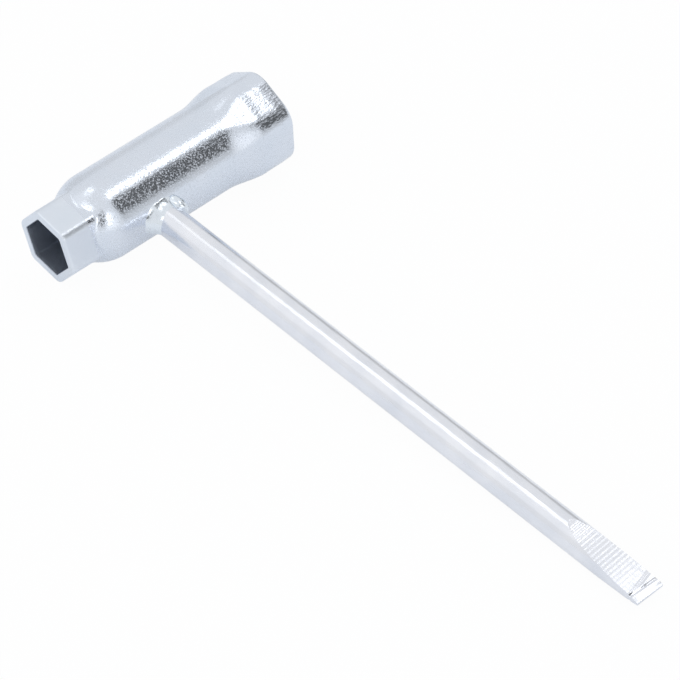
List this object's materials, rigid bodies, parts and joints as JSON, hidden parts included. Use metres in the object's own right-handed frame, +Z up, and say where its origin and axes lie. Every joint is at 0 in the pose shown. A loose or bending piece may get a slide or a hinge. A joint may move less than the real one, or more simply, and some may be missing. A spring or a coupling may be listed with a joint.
{
  "type": "chainsaw combination wrench",
  "caption": "T-shaped wrench: a plated steel tube with a hexagon socket at each end, and a round bar welded across it that ends in a flat screwdriver blade.",
  "frame": {"origin": "on the bench under the middle of the tool's box, with the tool lying as it rests by itself", "axes": "+X along the tube from the small socket towards the large one, -Y along the bar to its blade, +Z up; the tube rises 2.1 degrees along +X and the bar falls 3.1 degrees along -Y, because the tool rests on the tube's shoulder, the large socket and the bar"},
  "size_m": [0.0682, 0.1786, 0.0256],
  "materials": {
    "tube_zinc": "bright blue-white zinc plate over drawn steel tube",
    "bar_zinc": "bright blue-white zinc plate over drawn steel bar",
    "weld_zinc": "bright zinc plate over rippled weld metal"
  },
  "bodies": {
    "root": {"socket_tube": "tube_zinc", "screwdriver_bar": "bar_zinc", "weld_bead_small_side": "weld_zinc", "weld_bead_large_side": "weld_zinc"}
  },
  "joints": []
}
